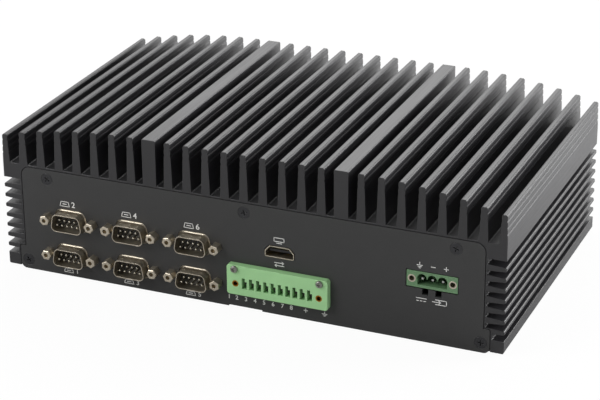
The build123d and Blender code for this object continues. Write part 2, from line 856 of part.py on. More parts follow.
with BuildPart() as io_screws:
    for side in (-1, 1):
        screw_x = io_x + side * io_screw_spacing / 2
        rod(screw_x, io_screw_z, (slot_y - io_screw_head_height, slot_y), io_screw_head_radius)
    fillet(io_screws.edges().group_by(Axis.Y)[0], io_screw_dome)
    for side in (-1, 1):
        screw_x = io_x + side * io_screw_spacing / 2
        rod(screw_x, io_screw_z, (slot_y, inner_front_y + io_screw_end), io_screw_radius)
        head_y = slot_y - io_screw_head_height
        for long, tall in ((io_cross_length, io_cross_width), (io_cross_width, io_cross_length)):
            slab((screw_x - long / 2, screw_x + long / 2), (head_y, head_y + io_cross_depth),
                 (io_screw_z - tall / 2, io_screw_z + tall / 2), Mode.SUBTRACT)
save(io_screws, "io_screws")

# DC header: a block through the panel with three lobes over its pins
dc_pole_xs = [dc_x + (step - (dc_poles - 1) / 2) * dc_pitch for step in range(dc_poles)]
dc_face_y = front_y + dc_recess
dc_back_y = front_y + dc_depth
with BuildPart() as power_header:
    slab((dc_x - dc_width / 2, dc_x + dc_width / 2), (dc_face_y, dc_back_y),
         (dc_z - dc_height / 2, dc_z + dc_height / 2))
    for side in (-1, 1):
        foot_x = dc_x + side * dc_insert_spacing / 2
        slab((foot_x - dc_foot_half, foot_x + dc_foot_half), (inner_front_y + board_front_gap, dc_back_y),
             (dc_z + dc_height / 2, board_underside_z))
    with BuildSketch(facing(dc_face_y).shift_origin((dc_x, dc_face_y, dc_z))):
        pane((-dc_cavity_width / 2, dc_cavity_width / 2), (dc_cavity_low - dc_height / 2, dc_lobe_z))
        with Locations(*[(x - dc_x, dc_lobe_z) for x in dc_pole_xs]):
            Circle(dc_lobe_radius)
    extrude(amount=-dc_cavity_depth, mode=Mode.SUBTRACT)
    for x in dc_pole_xs:
        slab((x - dc_pin_width / 2, x + dc_pin_width / 2), (dc_face_y, dc_back_y),
             (dc_z + dc_pin_z - dc_pin_width / 2, dc_z + dc_pin_z + dc_pin_width / 2), Mode.SUBTRACT)
    for side in (-1, 1):
        rod(dc_x + side * dc_insert_spacing / 2, dc_z, (dc_face_y, dc_face_y + dc_insert_length),
            dc_insert_radius, Mode.SUBTRACT)
save(power_header, "power_header")

with BuildPart() as power_pins:
    leg_y = dc_back_y + dc_pin_width
    for x in dc_pole_xs:
        sides = (x - dc_pin_width / 2, x + dc_pin_width / 2)
        low = dc_z + dc_pin_z - dc_pin_width / 2
        slab(sides, (dc_face_y + dc_pin_recess, leg_y), (low, low + dc_pin_width))
        slab(sides, (dc_back_y, leg_y), (low, board_underside_z))
save(power_pins, "power_pins")

with BuildPart() as power_inserts:
    for side in (-1, 1):
        insert_x = dc_x + side * dc_insert_spacing / 2
        rod(insert_x, dc_z, (dc_face_y, dc_face_y + dc_insert_length), dc_insert_radius)
        rod(insert_x, dc_z, (dc_face_y, dc_face_y + dc_insert_length), dc_insert_bore, Mode.SUBTRACT)
save(power_inserts, "power_inserts")


def centred(x, y, width, length, z, mode=Mode.ADD):
    """A box about a place in plan, between two heights."""
    slab((x - width / 2, x + width / 2), (y - length / 2, y + length / 2), z, mode)


# Mainboard, hung upside down from the ceiling on eight standoffs
board_front_y = inner_front_y + board_front_gap
with BuildPart() as mainboard:
    slab((-board_half_width, board_half_width), (board_front_y, board_front_y + board_length),
         (board_underside_z, board_top_z))
    fillet(mainboard.edges().filter_by(Axis.Z), board_corner)
    with Locations(*[(x, y, board_underside_z + board_thickness / 2) for x, y in standoff_places]):
        Cylinder(board_hole_radius, board_thickness, mode=Mode.SUBTRACT)
save(mainboard, "mainboard")

with BuildPart() as board_standoffs:
    for x, y in standoff_places:
        with BuildSketch(Plane.XY.offset(board_top_z)):
            with Locations((x, y)):
                RegularPolygon(standoff_flats / 2, 6, major_radius=False)
                Circle(m3_tap_radius, mode=Mode.SUBTRACT)
        extrude(amount=ceiling_z - board_top_z)
        post(x, y, (board_top_z + standoff_bore, ceiling_z + stud_length - stud_end_gap), m3_radius)
        post(x, y, (board_top_z + standoff_bore, ceiling_z), m3_tap_radius)
save(board_standoffs, "board_standoffs")

with BuildPart() as board_screws:
    for x, y in standoff_places:
        post(x, y, (board_underside_z - pan_head_height, board_underside_z), pan_head_radius)
        post(x, y, (board_underside_z, board_top_z + standoff_bore - stud_end_gap), m3_radius)
        head_z = board_underside_z - pan_head_height
        for width, length in ((cross_length, cross_width), (cross_width, cross_length)):
            centred(x, y, width, length, (head_z, head_z + cross_depth), Mode.SUBTRACT)
save(board_screws, "board_screws")

# Processor, its thermal pad and the block that leads its heat to the ceiling
package_top = board_top_z + package_thickness
die_top = package_top + die_thickness
pad_top = die_top + pad_thickness
with BuildPart() as processor_package:
    centred(processor_x, processor_y, package_size, package_size, (board_top_z, package_top))
save(processor_package, "processor_package")

with BuildPart() as processor_die:
    centred(processor_x, processor_y, die_width, die_length, (package_top, die_top))
save(processor_die, "processor_die")

with BuildPart() as thermal_pad:
    centred(processor_x, processor_y, die_width + pad_margin, die_length + pad_margin, (die_top, pad_top))
save(thermal_pad, "thermal_pad")

with BuildPart() as heat_block:
    centred(processor_x, processor_y, block_width, block_length, (pad_top, ceiling_z))
    fillet(heat_block.edges().filter_by(Axis.Z), block_corner)
    for x, y in block_screw_places:
        post(x, y, (pad_top, ceiling_z), m3_clear_radius, Mode.SUBTRACT)
        post(x, y, (pad_top, pad_top + cap_head_height), cap_head_radius + fit_gap, Mode.SUBTRACT)
save(heat_block, "heat_block")

with BuildPart() as heat_block_screws:
    for x, y in block_screw_places:
        post(x, y, (pad_top, pad_top + cap_head_height), cap_head_radius)
        post(x, y, (pad_top + cap_head_height, ceiling_z + stud_length - stud_end_gap), m3_radius)
        with BuildSketch(Plane.XY.offset(pad_top)):
            with Locations((x, y)):
                RegularPolygon(cap_socket_flats / 2, 6, major_radius=False)
        extrude(amount=cap_socket_depth, mode=Mode.SUBTRACT)
save(heat_block_screws, "heat_block_screws")

# Memory module in its socket under the board
memory_low = board_underside_z - memory_drop
memory_mid_y = front_y + memory_depth + memory_length / 2
with BuildPart() as memory_socket:
    socket_y = (front_y + memory_depth - socket_wall, front_y + memory_depth + socket_grip)
    socket_half = memory_width / 2 + socket_wall
    slab((memory_x - socket_half, memory_x + socket_half), socket_y,
         (memory_low - socket_wall, board_underside_z))
    for side in (-1, 1):
        arm_x = sorted((memory_x + side * (memory_width / 2 + fit_gap), memory_x + side * socket_half))
        slab(arm_x, (socket_y[0], memory_mid_y + memory_length / 4),
             (memory_low - socket_wall, board_underside_z))
    slab((memory_x - memory_width / 2 - fit_gap, memory_x + memory_width / 2 + fit_gap),
         (front_y + memory_depth - fit_gap, socket_y[1]),
         (memory_low - fit_gap, memory_low + memory_thickness), Mode.SUBTRACT)
save(memory_socket, "memory_socket")

with BuildPart() as memory_module:
    centred(memory_x, memory_mid_y, memory_width, memory_length, (memory_low, memory_low + memory_thickness))
save(memory_module, "memory_module")

with BuildPart() as memory_chips:
    for step in range(memory_chip_count):
        x = memory_x + (step - (memory_chip_count - 1) / 2) * memory_chip_pitch
        for low in (memory_low - memory_chip_height, memory_low + memory_thickness):
            centred(x, memory_mid_y + memory_chip_shift, memory_chip_width, memory_chip_length,
                    (low, low + memory_chip_height))
save(memory_chips, "memory_chips")

# Storage card in its socket under the board, its far end on a post
storage_low = board_underside_z - storage_drop
storage_end_y = front_y + storage_depth + storage_length
with BuildPart() as storage_socket:
    socket_y = (front_y + storage_depth - socket_wall, front_y + storage_depth + socket_grip)
    socket_half = storage_width / 2 + socket_wall
    slot_half = storage_width / 2 + fit_gap
    slab((storage_x - socket_half, storage_x + socket_half), socket_y,
         (storage_low - socket_wall / 2, board_underside_z))
    slab((storage_x - slot_half, storage_x + slot_half), (front_y + storage_depth - fit_gap, socket_y[1]),
         (storage_low, storage_low + storage_thickness), Mode.SUBTRACT)
save(storage_socket, "storage_socket")

with BuildPart() as storage_module:
    centred(storage_x, storage_end_y - storage_length / 2, storage_width, storage_length,
            (storage_low, storage_low + storage_thickness))
    post(storage_x, storage_end_y, (storage_low, storage_low + storage_thickness),
         storage_notch_radius, Mode.SUBTRACT)
save(storage_module, "storage_module")

with BuildPart() as storage_chips:
    for step in range(storage_chip_count):
        y = front_y + storage_depth + storage_chip_start + step * storage_chip_pitch
        centred(storage_x, y, storage_chip_width, storage_chip_length,
                (storage_low - memory_chip_height, storage_low))
save(storage_chips, "storage_chips")

with BuildPart() as storage_fixing:
    card_top = storage_low + storage_thickness
    post(storage_x, storage_end_y, (card_top, board_underside_z), storage_post_radius)
    post(storage_x, storage_end_y, (card_top, board_underside_z),
         storage_screw_radius + thread_clearance, Mode.SUBTRACT)
    post(storage_x, storage_end_y, (storage_low - storage_screw_head, storage_low), storage_post_radius)
    post(storage_x, storage_end_y, (storage_low, board_underside_z - fit_gap), storage_screw_radius)
save(storage_fixing, "storage_fixing")

# Small board behind the signal header and its link up to the mainboard
with BuildPart() as io_board:
    slab((io_x - io_width / 2, io_x + io_width / 2), (io_board_y, io_board_y + board_thickness),
         (io_bottom_z, io_board_top_z))
save(io_board, "io_board")

with BuildPart() as io_link:
    link_y = io_board_y + board_thickness
    slab((io_x + io_link_start, io_x + io_link_start + io_link_width), (link_y, link_y + io_link_depth),
         (io_board_top_z - io_link_overlap, board_underside_z))
save(io_link, "io_link")

# Coin cell in its holder under the board
with BuildPart() as cell_holder:
    cell_y = front_y + cell_depth
    holder_low = board_underside_z - cell_thickness - cell_seat
    post(cell_x, cell_y, (holder_low, board_underside_z), cell_radius + socket_wall)
    post(cell_x, cell_y, (holder_low, board_underside_z - cell_seat), cell_radius + fit_gap, Mode.SUBTRACT)
save(cell_holder, "cell_holder")

with BuildPart() as coin_cell:
    post(cell_x, cell_y, (holder_low, board_underside_z - cell_seat), cell_radius)
    chamfer(coin_cell.edges().group_by(Axis.Z)[0], cell_chamfer)
save(coin_cell, "coin_cell")

# Parts soldered to the board's upper side
with BuildPart() as inductors:
    for x in inductor_xs:
        for depth in inductor_depths:
            centred(x, front_y + depth, inductor_size, inductor_size,
                    (board_top_z, board_top_z + inductor_height))
    fillet(inductors.edges().filter_by(Axis.Z), inductor_corner)
save(inductors, "inductors")

with BuildPart() as capacitors:
    for x in capacitor_xs:
        post(x, front_y + capacitor_depth, (board_top_z, board_top_z + capacitor_height), capacitor_radius)
    chamfer(capacitors.edges().group_by(Axis.Z)[-1], capacitor_edge)
save(capacitors, "capacitors")

with BuildPart() as board_chips:
    for x in port_columns:
        for side in (-1, 1):
            centred(x + side * transceiver_shift, front_y + transceiver_depth,
                    transceiver_width, transceiver_length, (board_top_z, board_top_z + transceiver_height))
    for x in controller_xs:
        centred(x, front_y + controller_depth, controller_size, controller_size,
                (board_top_z, board_top_z + controller_height))
save(board_chips, "board_chips")
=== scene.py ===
"""Looks of a fanless industrial PC: camera, light, finishes and the marks printed on its front panel.

Lengths in the dataclass fields are millimetres, unless a field says metres, and become metres where a mesh
or a pattern is made.
"""
from __future__ import annotations

import logging
import math
from dataclasses import dataclass, field
from enum import Enum
from typing import Any, Sequence

import bmesh
import bpy
from mathutils import Matrix, Vector


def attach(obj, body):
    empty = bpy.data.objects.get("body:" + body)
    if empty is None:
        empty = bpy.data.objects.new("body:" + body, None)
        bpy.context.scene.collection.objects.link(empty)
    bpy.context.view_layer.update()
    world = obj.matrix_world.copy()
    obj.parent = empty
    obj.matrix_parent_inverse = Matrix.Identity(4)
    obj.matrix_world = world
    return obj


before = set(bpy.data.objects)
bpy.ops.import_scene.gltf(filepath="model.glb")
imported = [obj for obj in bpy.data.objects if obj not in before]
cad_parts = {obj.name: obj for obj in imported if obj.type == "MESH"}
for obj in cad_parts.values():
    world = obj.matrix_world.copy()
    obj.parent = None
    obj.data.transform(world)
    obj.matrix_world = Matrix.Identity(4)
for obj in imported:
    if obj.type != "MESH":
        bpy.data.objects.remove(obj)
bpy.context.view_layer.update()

log = logging.getLogger("industrial_pc")
MM = 0.001
FRONT_Y = -73.9


class Axis(Enum):
    """Direction in which a surface was drawn, milled or brushed."""

    X = 0
    Y = 1
    Z = 2


def linear(hex_colour: str) -> tuple[float, float, float, float]:
    """Turn an sRGB hex value to a linear colour.

    Args:
        hex_colour: six hex digits with a leading hash.

    Returns:
        Linear red, green and blue with an alpha of one.
    """
    parts = [int(hex_colour[i:i + 2], 16) / 255 for i in (1, 3, 5)]
    return (*[c / 12.92 if c <= 0.04045 else ((c + 0.055) / 1.055) ** 2.4 for c in parts], 1.0)


def add_node(
    tree: bpy.types.NodeTree,
    kind: str,
    links: dict[str | int, bpy.types.NodeSocket] | None = None,
    values: dict[str | int, Any] | None = None,
    **settings: Any,
) -> bpy.types.Node:
    """Add one node to a material.

    Args:
        tree: the material's node tree.
        kind: the node's type name.
        links: input name or number to the output that feeds it.
        values: input name or number to a constant.
        settings: the node's own properties.

    Returns:
        The new node.
    """
    made = tree.nodes.new(kind)
    for name, value in settings.items():
        setattr(made, name, value)
    for key, value in (values or {}).items():
        made.inputs[key].default_value = value
    for key, source in (links or {}).items():
        tree.links.new(source, made.inputs[key])
    return made


@dataclass(frozen=True)
class Grain:
    """A surface's fine relief: how wide and long its marks are, and how deep."""

    along: Axis
    width: float
    length: float
    depth: float


@dataclass(frozen=True)
class Finish:
    """One real material and the process that made its surface.

    Attributes:
        name: the material's plain name.
        colour: sRGB hex value of the clean surface.
        shade: sRGB hex value that the mottling leans to.
        metallic: share of metal reflection.
        roughness: mean roughness.
        rough_spread: how far roughness wanders to each side.
        mottle: size of the colour's cloudiness.
        mottle_depth: relief of a surface that has no grain.
        grain: fine relief, if the process leaves one.
        edge: sRGB hex value of the lighter edges, partly wear and partly a painted highlight.
        edge_radius: width of the softened edge, nought for none.
        edge_wear: how much of the edge colour shows, wear and painted highlight together.
        wear_turn: cosines of the edge's turn at which the lighter edge begins and is full.
        crevice: reach of the painted shade in slots, nought for none.
        crevice_open: shares of open sky at which the painted shade in a slot is darkest and gone.
        crevice_tone: share of the colour that the painted shade leaves in the darkest slot.
        ior: index of refraction, left at the shader's default for metals.
    """

    name: str
    colour: str
    shade: str
    metallic: float = 0.0
    roughness: float = 0.5
    rough_spread: float = 0.06
    mottle: float = 12.0
    mottle_depth: float = 0.01
    grain: Grain | None = None
    edge: str = "#ffffff"
    edge_radius: float = 0.0
    edge_wear: float = 0.0
    wear_turn: tuple[float, float] = (0.985, 0.80)
    crevice: float = 0.0
    crevice_open: tuple[float, float] = (0.1, 0.6)
    crevice_tone: float = 0.15
    ior: float | None = None

    def build(self) -> bpy.types.Material:
        """Make the material.

        Returns:
            A node material on Object coordinates.
        """
        material = bpy.data.materials.new(self.name)
        material.use_nodes = True
        tree = material.node_tree
        shader = tree.nodes["Principled BSDF"]
        shader.inputs["Metallic"].default_value = self.metallic
        if self.ior is not None:
            shader.inputs["IOR"].default_value = self.ior
        place = add_node(tree, "ShaderNodeTexCoord").outputs["Object"]
        cloud = add_node(tree, "ShaderNodeTexNoise", {"Vector": place},
                         {"Scale": 1 / (self.mottle * MM), "Detail": 3.0, "Roughness": 0.55}).outputs["Fac"]
        rounded = self.rounded_normal(tree)
        tree.links.new(self.tone(tree, cloud, rounded), shader.inputs["Base Color"])
        height, depth = cloud, self.mottle_depth
        if self.grain:
            height, depth = self.marks(tree, place), self.grain.depth
        rough = add_node(tree, "ShaderNodeMapRange", {"Value": height}, {
            "From Min": 0.3, "From Max": 0.7,
            "To Min": self.roughness - self.rough_spread, "To Max": self.roughness + self.rough_spread})
        tree.links.new(rough.outputs[0], shader.inputs["Roughness"])
        bump = add_node(tree, "ShaderNodeBump", {"Height": height}, {"Strength": 1.0, "Distance": depth * MM})
        if rounded is not None:
            tree.links.new(rounded, bump.inputs["Normal"])
        tree.links.new(bump.outputs[0], shader.inputs["Normal"])
        return material

    def rounded_normal(self, tree: bpy.types.NodeTree) -> bpy.types.NodeSocket | None:
        """Soften the edges.

        Args:
            tree: the material's node tree.

        Returns:
            The softened normal, or nothing where the finish keeps its edges sharp.
        """
        if not self.edge_radius:
            return None
        return add_node(tree, "ShaderNodeBevel", values={"Radius": self.edge_radius * MM},
                        samples=6).outputs["Normal"]

    def tone(
        self,
        tree: bpy.types.NodeTree,
        cloud: bpy.types.NodeSocket,
        rounded: bpy.types.NodeSocket | None,
    ) -> bpy.types.NodeSocket:
        """Mix the surface's colour: cloudy, lighter at the edges with wear and a painted highlight, darker
        with painted shade down in slots.

        Args:
            tree: the material's node tree.
            cloud: the cloudiness.
            rounded: the softened normal, if the edges have one.

        Returns:
            The colour.
        """
        base = add_node(tree, "ShaderNodeMix", {0: cloud}, {6: linear(self.shade), 7: linear(self.colour)},
                        data_type="RGBA").outputs[2]
        if rounded is not None:
            flat = add_node(tree, "ShaderNodeNewGeometry").outputs["Normal"]
            turn = add_node(tree, "ShaderNodeVectorMath", {0: rounded, 1: flat},
                            operation="DOT_PRODUCT").outputs["Value"]
            # Lighter edges: partly wear, partly a painted highlight.
            worn_and_lit_edge = add_node(tree, "ShaderNodeMapRange", {"Value": turn}, {
                "From Min": self.wear_turn[0], "From Max": self.wear_turn[1],
                "To Min": 0.0, "To Max": self.edge_wear}).outputs[0]
            base = add_node(tree, "ShaderNodeMix", {0: worn_and_lit_edge, 6: base}, {7: linear(self.edge)},
                            data_type="RGBA").outputs[2]
        # Painted shade: the colour darkens in slots that see little open sky.
        if self.crevice:
            sky = add_node(tree, "ShaderNodeAmbientOcclusion", values={"Distance": self.crevice * MM},
                           samples=8).outputs["AO"]
            painted_slot_shade = add_node(tree, "ShaderNodeMapRange", {"Value": sky}, {
                "From Min": self.crevice_open[0], "From Max": self.crevice_open[1],
                "To Min": self.crevice_tone, "To Max": 1.0}).outputs[0]
            base = add_node(tree, "ShaderNodeVectorMath", {0: base, "Scale": painted_slot_shade},
                            operation="SCALE").outputs[0]
        return base

    def marks(self, tree: bpy.types.NodeTree, place: bpy.types.NodeSocket) -> bpy.types.NodeSocket:
        """Draw the grain.

        Args:
            tree: the material's node tree.
            place: Object coordinates.

        Returns:
            The height of the grain's marks.
        """
        scale = [1 / (self.grain.width * MM)] * 3
        scale[self.grain.along.value] = 1 / (self.grain.length * MM)
        stretched = add_node(tree, "ShaderNodeMapping", {"Vector": place}, {"Scale": scale}).outputs[0]
        return add_node(tree, "ShaderNodeTexNoise", {"Vector": stretched},
                        {"Scale": 1.0, "Detail": 2.0, "Roughness": 0.6}).outputs["Fac"]


# Case: extruded aluminium, dyed black and sealed. The clear alumina film over the dye reflects little face on
# and much at a glancing angle. The die leaves fine lines along its length, drawn coarser than real to show.
# Its lighter fin edges are partly wear and partly a painted highlight.
ANODISED = Finish("black_anodised_aluminium", "#1b1a1e", "#161518", roughness=0.42, rough_spread=0.05,
                  mottle=30.0, grain=Grain(Axis.Y, 0.6, 60.0, 0.02), edge="#5a5c61", edge_radius=0.6,
                  edge_wear=0.1, ior=1.72)
# Panels and cover: sheet metal under a fine-textured black powder coat, which shows as a soft even sheen. Its
# orange peel is drawn about twice as coarse as real.
# Its lighter edges are partly wear and partly a painted highlight.
POWDER_COAT = Finish("textured_powder_coat", "#393939", "#343434", roughness=0.52, mottle=8.0, ior=1.5,
                     grain=Grain(Axis.Z, 0.7, 0.7, 0.03), edge="#45464a", edge_radius=0.2, edge_wear=0.4)
# Port shells and jackscrews: drawn or turned steel under bright nickel, slightly warm, with a painted
# highlight on its rims.
NICKEL = Finish("nickel_plated_steel", "#ece2cf", "#d8cdb9", metallic=1.0, roughness=0.4, mottle=3.0,
                edge_radius=0.12, edge="#f2ece0", edge_wear=0.5)
# Standoffs and small screws: steel under clear zinc, greyer and duller than nickel.
ZINC = Finish("zinc_plated_steel", "#b5b4ae", "#9c9b95", metallic=1.0, roughness=0.34, mottle=2.0)
# Panel screws: steel blackened in a hot bath, oily and almost as dark as the coat around them.
# Its lighter edges are a painted highlight.
BLACK_OXIDE = Finish("black_oxide_steel", "#4c4c4e", "#3c3c3e", metallic=0.8, roughness=0.36, mottle=2.0,
                     edge="#98989a", edge_radius=0.2, edge_wear=0.6)
# Insulators and sockets: moulded polyester filled with glass, a dull black inside the bright shells.
BLACK_POLYESTER = Finish("moulded_black_polyester", "#1d1d1f", "#171719", roughness=0.42, mottle=4.0,
                         ior=1.55, grain=Grain(Axis.Y, 0.3, 0.3, 0.01))
# Signal header: green polyamide, moulded, with the satin skin of filled plastic, painted shade in its slots
# and lighter edges that are partly wear and partly a painted highlight.
GREEN_POLYAMIDE = Finish("moulded_green_polyamide", "#a9dc9e", "#9fd295", roughness=0.45, mottle=9.0,
                         ior=1.53, grain=Grain(Axis.Y, 0.4, 0.4, 0.012), edge="#b3e0ab", edge_radius=0.15,
                         edge_wear=0.4, crevice=2.5)
# The DC header is the same plastic, its colour painted darker and greyer for the shade that falls on the
# panel's right side.
SHADED_GREEN_POLYAMIDE = Finish("glass_filled_green_polyamide", "#678c65", "#5f835d", roughness=0.5,
                               mottle=6.0, ior=1.53, grain=Grain(Axis.Y, 0.4, 0.4, 0.012), crevice=4.0)
# Signal pins: tin, painted dark grey for the shade far down in their slots.
SHADED_TIN = Finish("dulled_tin", "#55554f", "#45453f", metallic=0.9, roughness=0.55, mottle=1.0)
# Signal inserts: turned brass, an orange ring round each dark bore.
BRASS = Finish("turned_brass", "#d9983f", "#c07f30", metallic=1.0, roughness=0.28, mottle=1.5)
# Serial pins: tinned, with a painted warm reflection of the shells around them, small bright dots in the
# dark.
PIN_TIN = Finish("tin_plated_pin", "#e6e0d0", "#d2ccbc", metallic=1.0, roughness=0.3, mottle=1.0)
# DC pins and the coin cell: bright plated metal with a soft mirror.
TIN = Finish("tin_plated_copper", "#d2d2cf", "#bcbcb8", metallic=1.0, roughness=0.25, mottle=1.0)
# Video contacts: thin gold on copper, a warm glint at the back of the socket.
GOLD = Finish("gold_plated_copper", "#e6c06a", "#d1a850", metallic=1.0, roughness=0.22, mottle=1.0)
# Boards: glass laminate under a green solder mask, a thin gloss lacquer over dark green.
SOLDER_MASK = Finish("green_solder_mask", "#1f6a3f", "#185934", roughness=0.3, mottle=5.0, ior=1.5,
                     grain=Grain(Axis.X, 0.5, 6.0, 0.01))
# Chips and inductors: epoxy moulded in a blasted tool, a matt near-black.
CHIP_RESIN = Finish("moulded_chip_resin", "#26272a", "#202124", roughness=0.55, mottle=2.0, ior=1.55)
# Processor die: lapped silicon, a cool grey mirror.
SILICON = Finish("polished_silicon", "#6a7078", "#5d646c", metallic=0.6, roughness=0.12, mottle=4.0)
# Thermal pad: silicone loaded with alumina, chalky and soft.
SILICONE_PAD = Finish("filled_silicone_pad", "#9aa0a8", "#8c929b", roughness=0.7, mottle=1.0, ior=1.41)
# Heat block and capacitor cans: bare aluminium, milled or drawn, with a directional sheen.
MILLED = Finish("milled_aluminium", "#c3c5c8", "#aeb0b4", metallic=1.0, roughness=0.3, mottle=6.0,
                grain=Grain(Axis.X, 0.6, 12.0, 0.01))
# Print on the panel: white screen ink, a thin matt film with a slightly uneven cover.
SCREEN_INK = Finish("white_screen_ink", "#e9e9e6", "#dcdcd9", roughness=0.6, mottle=0.8, ior=1.48)

FINISHES: Sequence[tuple[Finish, tuple[str, ...]]] = (
    (ANODISED, ("heatsink_housing",)),
    (POWDER_COAT, ("front_panel", "rear_panel", "bottom_cover")),
    (NICKEL, ("serial_shell", "serial_jackscrews", "video_shell", "power_inserts")),
    (ZINC, ("board_standoffs", "board_screws", "storage_fixing", "io_screws")),
    (BLACK_OXIDE, ("panel_screws", "cover_screws", "heat_block_screws")),
    (BLACK_POLYESTER, ("serial_insulator", "serial_body", "video_insulator", "memory_socket",
                       "storage_socket", "cell_holder", "io_link")),
    (GREEN_POLYAMIDE, ("io_header",)),
    (SHADED_GREEN_POLYAMIDE, ("power_header",)),
    (BRASS, ("io_inserts",)),
    (SHADED_TIN, ("io_pins",)),
    (TIN, ("power_pins", "coin_cell")),
    (PIN_TIN, ("serial_contacts",)),
    (GOLD, ("video_contacts",)),
    (SOLDER_MASK, ("mainboard", "io_board", "memory_module", "storage_module", "processor_package")),
    (CHIP_RESIN, ("memory_chips", "storage_chips", "board_chips", "inductors")),
    (SILICON, ("processor_die",)),
    (SILICONE_PAD, ("thermal_pad",)),
    (MILLED, ("heat_block", "capacitors")),
)


@dataclass
class Dressing:
    """Puts a finish on every piece that comes from the frame."""

    groups: Sequence[tuple[Finish, tuple[str, ...]]]
    dressed: dict[str, str] = field(default_factory=dict)

    def apply(self, nodes: dict[str, bpy.types.Object]) -> None:
        """Give each node its material, the first that its name fits.

        Args:
            nodes: the frame's objects by name.
        """
        for finish, starts in self.groups:
            material = finish.build()
            for name, piece in nodes.items():
                if name.startswith(starts) and name not in self.dressed:
                    piece.data.materials.clear()
                    piece.data.materials.append(material)
                    self.dressed[name] = finish.name
        bare = sorted(set(nodes) - set(self.dressed))
        log.info("dressed %d of %d nodes, left %s", len(self.dressed), len(nodes), bare)


@dataclass
class PanelPrint:
    """Marks printed on the front panel with white ink, drawn as thin bars and digits.

    Attributes:
        name: the piece's name.
        thickness: height of the ink film.
        sunk: how far the film's back lies under the panel's face.
        stroke: width of a pictogram's lines.
        digit_share: a digit's height as a share of the lettering's size.
        digit_weight: how much thicker a digit is drawn, as a share of its height.
        ground_halves: half widths of the ground sign's bars, from the top.
        ground_stroke: width of its lines as a share of its height.
        mesh: the piece while it is drawn.
    """

    name: str
    thickness: float = 0.04
    sunk: float = 0.01
    stroke: float = 0.36
    digit_share: float = 0.69
    digit_weight: float = 0.02
    ground_halves: tuple[float, ...] = (1.3, 0.85, 0.35)
    ground_stroke: float = 0.125
    mesh: bmesh.types.BMesh = field(default_factory=bmesh.new)

    def seat(self, x: float, z: float) -> Matrix:
        """Give the place in the ink film at x and z."""
        return Matrix.Translation((x * MM, (FRONT_Y + self.sunk - self.thickness / 2) * MM, z * MM))

    def bar(self, x: float, z: float, width: float, height: float, turn: float = 0.0) -> None:
        """Print one straight bar.

        Args:
            x: middle of the bar.
            z: height of its middle.
            width: its length before it is turned.
            height: its width before it is turned.
            turn: degrees, anticlockwise seen from the front.
        """
        place = (self.seat(x, z) @ Matrix.Rotation(math.radians(-turn), 4, "Y")
                 @ Matrix.Diagonal((width * MM, self.thickness * MM, height * MM, 1)))
        bmesh.ops.create_cube(self.mesh, size=1.0, matrix=place)

    def line(self, start: tuple[float, float], end: tuple[float, float], width: float | None = None) -> None:
        """Print a line whose ends run on by half its width.

        Args:
            start: x and z where it begins.
            end: x and z where it ends.
            width: its width, the common stroke if left out.
        """
        along = Vector((end[0] - start[0], end[1] - start[1]))
        stroke = width or self.stroke
        self.bar((start[0] + end[0]) / 2, (start[1] + end[1]) / 2, along.length + stroke, stroke,
                 math.degrees(math.atan2(along.y, along.x)))

    def path(self, *points: tuple[float, float], close: bool = False) -> None:
        """Print a line through several places.

        Args:
            points: x and z of each place.
            close: whether the line comes back to the first.
        """
        ends = [*points[1:], points[0]] if close else points[1:]
        for start, end in zip(points, ends):
            self.line(start, end)

    def plus(self, x: float, z: float, half: float) -> None:
        """Print a plus sign whose arms reach half to each side."""
        self.line((x - half, z), (x + half, z))
        self.line((x, z - half), (x, z + half))

    def ground(self, x: float, z: float, height: float) -> None:
        """Print the sign for ground, a stem over three shortening bars.

        Args:
            x: middle of the sign.
            z: height of its middle.
            height: its height.
        """
        stroke = height * self.ground_stroke
        self.line((x, z + height / 2), (x, z), stroke)
        for step, half in enumerate(self.ground_halves):
            low = z - step * height / 4
            self.line((x - half, low), (x + half, low), stroke)

    def number(self, text: str, x: float, z: float, height: float) -> None:
        """Print a number.

        Args:
            text: its digits.
            x: middle of the number.
            z: height of its middle.
            height: height of its digits.
        """
        curve = bpy.data.curves.new("digits", "FONT")
        curve.body, curve.align_x, curve.align_y = text, "CENTER", "CENTER"
        curve.size = height * MM / self.digit_share
        curve.extrude = self.thickness / 2 * MM
        curve.offset = self.digit_weight * height * MM
        holder = bpy.data.objects.new("digits", curve)
        bpy.context.scene.collection.objects.link(holder)
        bpy.context.view_layer.update()
        flat = bpy.data.meshes.new_from_object(holder.evaluated_get(bpy.context.evaluated_depsgraph_get()))
        flat.transform(self.seat(x, z) @ Matrix.Rotation(math.radians(90), 4, "X"))
        self.mesh.from_mesh(flat)
        bpy.data.objects.remove(holder)
        bpy.data.meshes.remove(flat)
        bpy.data.curves.remove(curve)

    def draw(self) -> None:
        """Print this piece's marks, which each kind of print has of its own."""
        raise NotImplementedError

    def build(self) -> bpy.types.Object:
        """Print the marks and make the piece.

        Returns:
            One mesh object at the origin that rides on the case.
        """
        self.draw()
        bmesh.ops.remove_doubles(self.mesh, verts=self.mesh.verts, dist=1e-7)
        bmesh.ops.recalc_face_normals(self.mesh, faces=self.mesh.faces)
        data = bpy.data.meshes.new(self.name)
        self.mesh.to_mesh(data)
        self.mesh.free()
        piece = bpy.data.objects.new(self.name, data)
        bpy.context.scene.collection.objects.link(piece)
        data.materials.append(SCREEN_INK.build())
        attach(piece, "root")
        log.info("%s: %d faces", self.name, len(data.polygons))
        return piece


